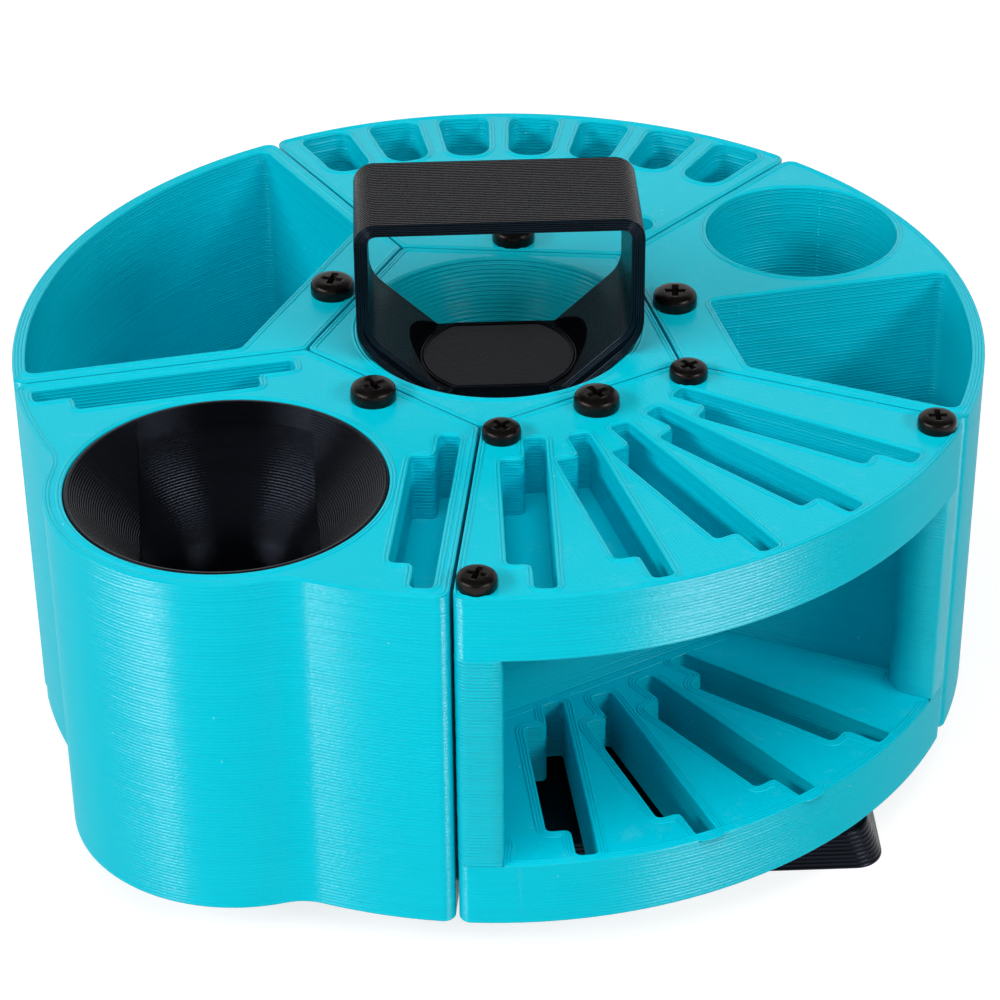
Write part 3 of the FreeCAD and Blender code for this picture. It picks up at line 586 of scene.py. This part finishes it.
# %% [markdown]
# ## Rings of the hub's seat and sides of the base
# The hub's seat is a cone, so every layer ends in a small step, and the steps show as fine rings:
# risers in the shade and treads in the light. A stair is drawn along the cone's slope and turned about
# the axis. The sides of the base lean inwards, and there the section of the walls is carried round a
# square with rounded corners that shrinks with height.

# %% Seat rings and base layers
SEAT_TOP_RADIUS = 30.0
SEAT_FLOOR_RADIUS = 17.76
SEAT_FLOOR = 75.0
RING_STEP = 0.7
SHARP_EDGE = math.radians(38)
BASE_BOTTOM_HALF = 77.0
BASE_TOP_HALF = 74.0
BASE_CORNER = 6.0
BASE_SWELL = 0.12


def seat_rings(count=180):
    """Stair of rings, half sunk in the cone: riser, worn edge and tread by turns, turned about the axis."""
    steps = round((TOP - SEAT_FLOOR) / RING_STEP)
    rise, tread = (TOP - SEAT_FLOOR) / steps, (SEAT_TOP_RADIUS - SEAT_FLOOR_RADIUS) / steps
    step = np.array([(0.0, 0.0), (0.0, 0.8), (0.2, 1.0)]) * (tread, rise)
    climb = np.arange(steps)[:, None, None] * (tread, rise)
    stair = (climb + step).reshape(-1, 2)
    behind = [(SEAT_TOP_RADIUS - SEAT_FLOOR_RADIUS + BACK, TOP - SEAT_FLOOR), (BACK, 0.0)]
    outline = np.vstack([stair, behind])
    radius = SEAT_FLOOR_RADIUS + tread / 2 + outline[:, 0]
    height = SEAT_FLOOR + outline[:, 1]
    angle = np.linspace(0, 2 * np.pi, count, endpoint=False)[:, None]
    return skin(np.stack([radius * np.cos(angle), radius * np.sin(angle), height + 0 * angle], -1) * MM)


def base_sides(per_corner=13):
    """Leaning sides: corner centre + (corner radius + out) * direction; centres draw in with height."""
    section = layer_section(BASE_TOP, BASE_SWELL)
    half = BASE_BOTTOM_HALF - (BASE_BOTTOM_HALF - BASE_TOP_HALF) * section[:, 1] / BASE_TOP
    quarter = np.linspace(0, np.pi / 2, per_corner)
    angle = (np.arange(4)[:, None] * np.pi / 2 + quarter).reshape(-1, 1)
    middle = np.repeat(np.arange(4) * np.pi / 2 + np.pi / 4, per_corner)[:, None]
    radius = BASE_CORNER + section[:, 0]
    x = np.sign(np.cos(middle)) * (half - BASE_CORNER) + radius * np.cos(angle)
    y = np.sign(np.sin(middle)) * (half - BASE_CORNER) + radius * np.sin(angle)
    return skin(np.stack([x, y, section[:, 1] + 0 * x], -1) * MM)


rings = add_piece("hub_seat_rings", [seat_rings()], inside_teal, "carousel")
rings.data.set_sharp_from_angle(angle=SHARP_EDGE)
add_piece("base_side_layers", [base_sides()], black_foot, "stand")

# %% [markdown]
# ## Screws
# Nine pan-head screws hold the modules and the slab. A head could be a lathe shape with the cross cut
# out of it, but one grid gives both: its rows climb the thread, go round the rim of the head and over
# its top, change from a circle to a plus sign, and sink into the recess. Sharp edges are marked by
# angle, so the cross stays crisp.

# %% Turned screws
# Profiles as shares of the head's radius, or of the cross, and of the head's height.
HEAD_PROFILE = np.array([(0.97, 0.0), (1.0, 0.08), (1.0, 0.52), (0.985, 0.66), (0.945, 0.79),
                         (0.87, 0.89), (0.75, 0.955), (0.60, 0.985)])
RECESS_PROFILE = np.array([(1.14, 0.995), (1.0, 0.95), (0.84, 0.62), (0.50, 0.44)])
CROSS_SPAN = 0.46
CROSS_WIDTH = 0.135
SCREW_TIP = 0.7
THREAD_ROOT = 0.84
SCREW_NECK = 0.9
SHEARS_TURN = 82.7
MODULE_TURN = 72.0
RACK_TURN = SHEARS_TURN - 2 * MODULE_TURN
MODULE_SCREW_REACH = 39.1
RACK_SCREW_REACHES = (45.1, 98.4)
RACK_SCREW_OFFSET = 4.6


def polar(reach, degrees):
    """Point at a distance from the axis, at an angle from +X."""
    return reach * math.cos(math.radians(degrees)), reach * math.sin(math.radians(degrees))


def cross_outline(angle):
    """Plus sign, as a share of the head: span / cos at the end of an arm, width / sin along its side."""
    turn = np.abs((angle + np.pi / 4) % (np.pi / 2) - np.pi / 4)
    return np.minimum(CROSS_SPAN / np.cos(turn), CROSS_WIDTH / np.maximum(np.sin(turn), 1e-6))


def screw(place, turn, head, head_height, thread, length, pitch):
    """One screw: thread * (root + (1 - root) * saw of height / pitch - angle), then the head's profiles."""
    corner = math.atan2(CROSS_WIDTH, CROSS_SPAN)
    stops = (-np.pi / 4, -corner, corner, np.pi / 4)
    quarter = np.concatenate([np.linspace(a, b, 4, endpoint=False) for a, b in zip(stops, stops[1:])])
    angle = (np.arange(4)[:, None] * np.pi / 2 + quarter).ravel()
    climb = np.arange(-length, -pitch, pitch / 4)
    saw = np.abs(2 * ((climb[:, None] / pitch - angle / (2 * np.pi)) % 1) - 1)
    round_rows = np.ones(len(angle))
    radius = np.concatenate([SCREW_TIP * thread * round_rows[None],
                             thread * (THREAD_ROOT + (1 - THREAD_ROOT) * saw),
                             SCREW_NECK * thread * round_rows[None],
                             head * HEAD_PROFILE[:, :1] * round_rows,
                             head * RECESS_PROFILE[:, :1] * cross_outline(angle)])
    height = np.concatenate([climb[:1], climb, [-0.01], head_height * HEAD_PROFILE[:, 1],
                             head_height * RECESS_PROFILE[:, 1]])[:, None]
    x = place[0] + radius * np.cos(angle + turn)
    y = place[1] + radius * np.sin(angle + turn)
    return skin(np.stack([x, y, TOP + height + 0 * x], -1) * MM, closed_rows=False)


def add_screws(node_name, places, **sizes):
    """Screws at the given places, each turned by chance, in place of a CAD node."""
    turns = random.uniform(0, np.pi / 2, len(places))
    skins = [screw(place, turn, **sizes) for place, turn in zip(places, turns)]
    piece = add_piece(f"{node_name}_turned", skins, black_oxide, "carousel")
    piece.data.set_sharp_from_angle(angle=SHARP_EDGE)
    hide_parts(node_name)


module_places = [polar(MODULE_SCREW_REACH, SHEARS_TURN - index * MODULE_TURN) for index in range(5)]
rack_places = []
for reach in RACK_SCREW_REACHES:
    swing = MODULE_TURN / 2 - math.degrees(math.asin(RACK_SCREW_OFFSET / reach))
    rack_places += [polar(reach, RACK_TURN + swing), polar(reach, RACK_TURN - swing)]
add_screws("module_screws", module_places, head=4.75, head_height=3.5, thread=2.45, length=16.0, pitch=0.8)
add_screws("rack_screws", rack_places, head=4.0, head_height=2.9, thread=1.95, length=21.0, pitch=0.7)

# %% [markdown]
# ## Blobs of plastic
# Where the nozzle stops, a little plastic oozes out. On a wall the stops lie above each other as a seam
# of tiny lumps, and at the ends of the lower slots they are small curls. Each lump is an ellipsoid of a
# few dozen faces, half sunk in the wall, with its size drawn from a seeded generator.

# %% Seams and curls
BOTTLE_TURN = SHEARS_TURN - MODULE_TURN
WELL_REACH = 79.8
WELL_SWING = 18.7
WELL_RADIUS = 21.4
POST_RIDGE = (94.0, -7.6)
LOWER_SLOT_PITCH = 16.0
LOWER_SLOT_END = 89.6
FAN_APEX = 12.0
SLOT_HALF = 2.3
WELL_SEAM_TURN = 71.0
HALF_BIN_SEAM_REACH = 53.5
SEAM_FLOOR = 20.0
SEAM_TOP = TOP - 0.5
SEAM_WAVER = 0.05
SEAM_SIZES = (0.14, 0.34)
CURL_LUMPS = 7
CURL_STEP = 0.28
CURL_SIZES = (0.22, 0.38)


def lumps(centres, sizes):
    """Capped ellipsoids, one per centre: centre + size * (sin v cos u, sin v sin u, cos v)."""
    u = np.linspace(0, 2 * np.pi, 7, endpoint=False)
    v = np.linspace(0.3, np.pi - 0.3, 5)[:, None]
    ball = np.stack([np.sin(v) * np.cos(u), np.sin(v) * np.sin(u), np.cos(v) + 0 * u], -1)
    grids = (centres[:, None, None] + sizes[:, None, None] * ball) * MM
    return [skin(grid, closed_rows=False) for grid in grids]


def seam(place, low, high):
    """A column of lumps, one for each visible line of the wall, at a place on it."""
    heights = np.arange(low + LINE / 2, high, LINE)
    column = np.column_stack([np.tile(place, (len(heights), 1)), heights])
    spots = column + random.normal(0, SEAM_WAVER, column.shape)
    sizes = random.uniform(*SEAM_SIZES, (len(heights), 1)) * np.array([1.0, 1.0, 1.1])
    return lumps(spots, sizes)


def curl(place):
    """A short curl of ooze: lumps on a drawn walk round a place at the shelf's top."""
    steps = np.cumsum(random.normal(0, CURL_STEP, (CURL_LUMPS, 3)), 0) * np.array([1.0, 1.0, 0.6])
    spots = np.append(np.asarray(place), SHELF_TOP - 0.2) + steps
    return lumps(spots, random.uniform(*CURL_SIZES, (CURL_LUMPS, 1)) * np.ones(3))


well_x, well_y = polar(WELL_REACH, BOTTLE_TURN + WELL_SWING)
on_well = polar(WELL_RADIUS, WELL_SEAM_TURN)
seams = seam((well_x + on_well[0], well_y + on_well[1]), SEAM_FLOOR, SEAM_TOP)
seams += seam(polar(HALF_BIN_SEAM_REACH, BOTTLE_TURN), SEAM_FLOOR, SEAM_TOP)
post_turn = math.radians(RACK_TURN + MODULE_TURN / 2)
post_x = POST_RIDGE[0] * math.cos(post_turn) - POST_RIDGE[1] * math.sin(post_turn)
post_y = POST_RIDGE[0] * math.sin(post_turn) + POST_RIDGE[1] * math.cos(post_turn)
seams += seam((post_x, post_y), SHELF_TOP, SLAB_BOTTOM)
add_piece("wall_seam_lumps", seams, layered_teal, "carousel")

curls = []
for index in range(4):
    swing = (index - 1.5) * LOWER_SLOT_PITCH
    end_x, end_y = polar(LOWER_SLOT_END, swing)
    side_x, side_y = polar(SLOT_HALF, swing + 90)
    corner = complex(FAN_APEX + end_x + side_x, end_y + side_y)
    curls += curl(polar(abs(corner), RACK_TURN + math.degrees(np.angle(corner))))
add_piece("slot_end_curls", curls, layered_teal, "carousel")

# %% [markdown]
# ## Camera
# The photograph was taken from about thirty degrees above the rim, with a long lens. The place, tilt and
# lens were found by matching the seams, the rim and the base, so here they are plain numbers. The
# camera looks along a heading and a dip, and is rolled by about half a degree.

# %% Camera
CAMERA_DISTANCE = 0.68566
CAMERA_HEIGHT_ANGLE = 29.6477
CAMERA_SIDE = -92.0
CAMERA_DIP = 32.7522
CAMERA_ROLL = 0.5955
CAMERA_LENS = 115.49
CAMERA_SENSOR = 36.0
CAMERA_NEAR = 0.05


def direction(side, lift):
    """Unit vector from a heading about Z and an angle above the horizon, in degrees."""
    side, lift = math.radians(side), math.radians(lift)
    return np.array([math.cos(lift) * math.cos(side), math.cos(lift) * math.sin(side), math.sin(lift)])


eye = np.array([0, 0, TOP * MM]) + CAMERA_DISTANCE * direction(CAMERA_SIDE, CAMERA_HEIGHT_ANGLE)
ahead = direction(CAMERA_SIDE + 180, -CAMERA_DIP)
level_right = np.cross(ahead, UP)
level_right /= np.linalg.norm(level_right)
level_up = np.cross(level_right, ahead)
roll = math.radians(CAMERA_ROLL)
right = level_right * math.cos(roll) - level_up * math.sin(roll)
upward = level_up * math.cos(roll) + level_right * math.sin(roll)
lens = bpy.data.cameras.new("photo_camera")
lens.lens = CAMERA_LENS
lens.sensor_width = CAMERA_SENSOR
lens.clip_start = CAMERA_NEAR
camera = bpy.data.objects.new("photo_camera", lens)
pose = np.eye(4)
pose[:3, 0], pose[:3, 1], pose[:3, 2], pose[:3, 3] = right, upward, -ahead, eye
camera.matrix_world = Matrix(pose.tolist())
bpy.context.scene.collection.objects.link(camera)
bpy.context.scene.camera = camera
print("camera at", eye.round(3))

# %% [markdown]
# ## Floor and light
# The caddy stands on a paper sweep: a disc whose edge curves up, low in front and high at the back. A
# flat floor under a white world would be simpler, but then every wall would mirror white and lose its
# bands. So the world is dim, and only the paper looks white to the camera and to reflections, by the
# Light Path node, while its soft shadow stays. A wide, low strip softbox on each side of the camera
# draws a pale upright band on every round wall that turns towards it, and a square one above fills the
# tops and walls. That fill is kept out of reflections, so the black pieces stay dark between the bands.

# %% Floor, world and softboxes
SWEEP_FLAT = 2.2
SWEEP_REACH = 3.2
SWEEP_LIP = 0.7
SWEEP_BACK = 2.4
SWEEP_SPREAD = 1.4
BACK_HEADING = math.radians(88)
PAPER_GLOW = 0.80
AMBIENT = 0.07
LAMP_DISTANCE = 1.8
LAMP_AIM = np.array([0, 0, 0.05])


def paper_sweep(around=96, steps=24):
    """Disc and rim: radius = flat + (reach - flat) * sin a, height = lip * (1 - cos a), back lip high."""
    heading = np.linspace(0, 2 * np.pi, around, endpoint=False)
    climb = np.linspace(0, np.pi / 2, steps)[:, None]
    backwards = np.clip(SWEEP_SPREAD * np.cos(heading - BACK_HEADING), 0, 1)
    lip = SWEEP_LIP + (SWEEP_BACK - SWEEP_LIP) * backwards
    radius = SWEEP_FLAT + (SWEEP_REACH - SWEEP_FLAT) * np.sin(climb)
    points = np.stack([radius * np.cos(heading), radius * np.sin(heading), lip * (1 - np.cos(climb))], -1)
    index = np.arange(steps * around).reshape(steps, around)
    beside = np.roll(index, -1, 1)
    quads = np.stack([index[:-1], index[1:], beside[1:], beside[:-1]], -1).reshape(-1, 4)
    return points.reshape(-1, 3).tolist(), [index[0].tolist(), *quads.tolist()]


corners, faces = paper_sweep()
floor_mesh = bpy.data.meshes.new("floor")
floor_mesh.from_pydata(corners, [], faces)
floor_mesh.shade_smooth()
floor = bpy.data.objects.new("floor", floor_mesh)
bpy.context.scene.collection.objects.link(floor)


def seen_directly(tree):
    """1 for camera, glossy and transmission rays, which see the white background, and 0 for the rest."""
    rays = add_node(tree, "ShaderNodeLightPath").outputs
    shiny = calculate(tree, "MAXIMUM", rays["Is Glossy Ray"], rays["Is Transmission Ray"])
    return calculate(tree, "MAXIMUM", rays["Is Camera Ray"], shiny)


# White paper: even and matt, pure white in the picture.
white_sweep, tree, surface = empty_material("white_paper_sweep")
paper = add_node(tree, "ShaderNodeBsdfDiffuse", {"Color": linear("#D4D4D4")}).outputs[0]
thin_paper = add_node(tree, "ShaderNodeBsdfDiffuse", {"Color": linear("#A0A0A0")}).outputs[0]
glow = add_node(tree, "ShaderNodeEmission",
                {"Color": linear("#FFFFFF"), "Strength": PAPER_GLOW}).outputs[0]
bright = add_node(tree, "ShaderNodeAddShader", {0: thin_paper, 1: glow}).outputs[0]
sheet = add_node(tree, "ShaderNodeMixShader", {0: seen_directly(tree), 1: paper, 2: bright}).outputs[0]
tree.links.new(sheet, surface)
floor_mesh.materials.append(white_sweep)

world = bpy.data.worlds.new("studio")
world.use_nodes = True
world.node_tree.nodes.clear()
tree = world.node_tree
soft = add_node(tree, "ShaderNodeBackground",
                {"Color": linear("#FFFFFF"), "Strength": AMBIENT}).outputs[0]
add_node(tree, "ShaderNodeOutputWorld", {"Surface": soft})
bpy.context.scene.world = world


def softbox(name, side, lift, width, height, brightness):
    """Rectangular lamp facing the caddy; power = brightness * area * pi, so size doesn't change gloss."""
    lamp = bpy.data.lights.new(name, "AREA")
    lamp.shape = "RECTANGLE"
    lamp.size, lamp.size_y = width, height
    lamp.energy = brightness * width * height * math.pi
    stand = bpy.data.objects.new(name, lamp)
    place = LAMP_AIM + LAMP_DISTANCE * direction(side, lift)
    turn = Vector(place - LAMP_AIM).to_track_quat("Z", "Y").to_matrix().to_4x4()
    stand.matrix_world = Matrix.Translation(place) @ turn
    bpy.context.scene.collection.objects.link(stand)
    return stand


softbox("softbox_left", side=-155, lift=31.0, width=1.38, height=0.22, brightness=19.5)
softbox("softbox_right", side=-41, lift=31.0, width=0.88, height=0.22, brightness=18.0)
fill = softbox("softbox_fill", side=-92, lift=66.0, width=1.30, height=1.30, brightness=3.1)
# No surface mirrors the fill lamp.
fill.visible_glossy = False
bpy.context.scene.view_settings.view_transform = "Standard"
print("floor corners:", len(corners), "lamps:", len(bpy.data.lights))
